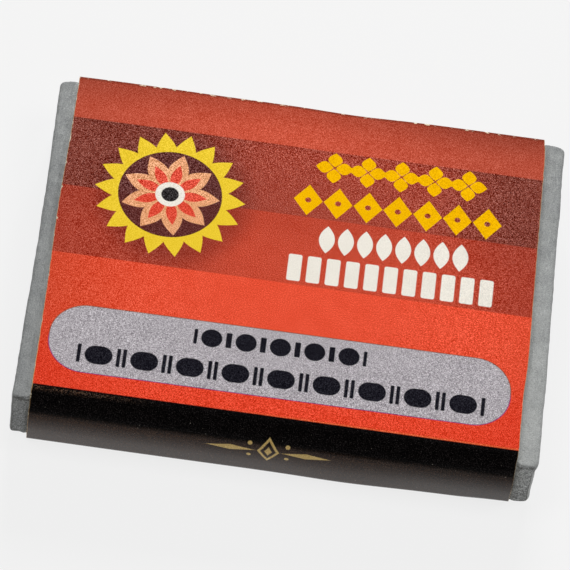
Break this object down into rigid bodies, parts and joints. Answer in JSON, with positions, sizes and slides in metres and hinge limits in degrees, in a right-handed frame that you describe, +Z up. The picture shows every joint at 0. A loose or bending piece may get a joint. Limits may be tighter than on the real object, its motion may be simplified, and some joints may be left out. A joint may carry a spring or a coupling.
{
  "type": "kneaded eraser",
  "caption": "Flat block of soft grey rubber putty, wrapped in a printed paper sleeve that is open at both ends, for lifting pencil and charcoal marks.",
  "frame": {"origin": "below the middle of the object's box, on the surface that it lies on", "axes": "+X along the block, from the end with the narrower strip of bare putty to the other; -Y out of the black front panel; +Z up, out of the red printed face"},
  "size_m": [0.047, 0.036, 0.007],
  "materials": {
    "putty": "matte grey putty rubber, faintly mottled, with pressed and cut faces",
    "printed_card": "light card printed in red and black with a satin coating, bare and pale inside and at its cut edges"
  },
  "bodies": {
    "root": {"eraser_block": "putty", "paper_sleeve": "printed_card"}
  },
  "joints": []
}
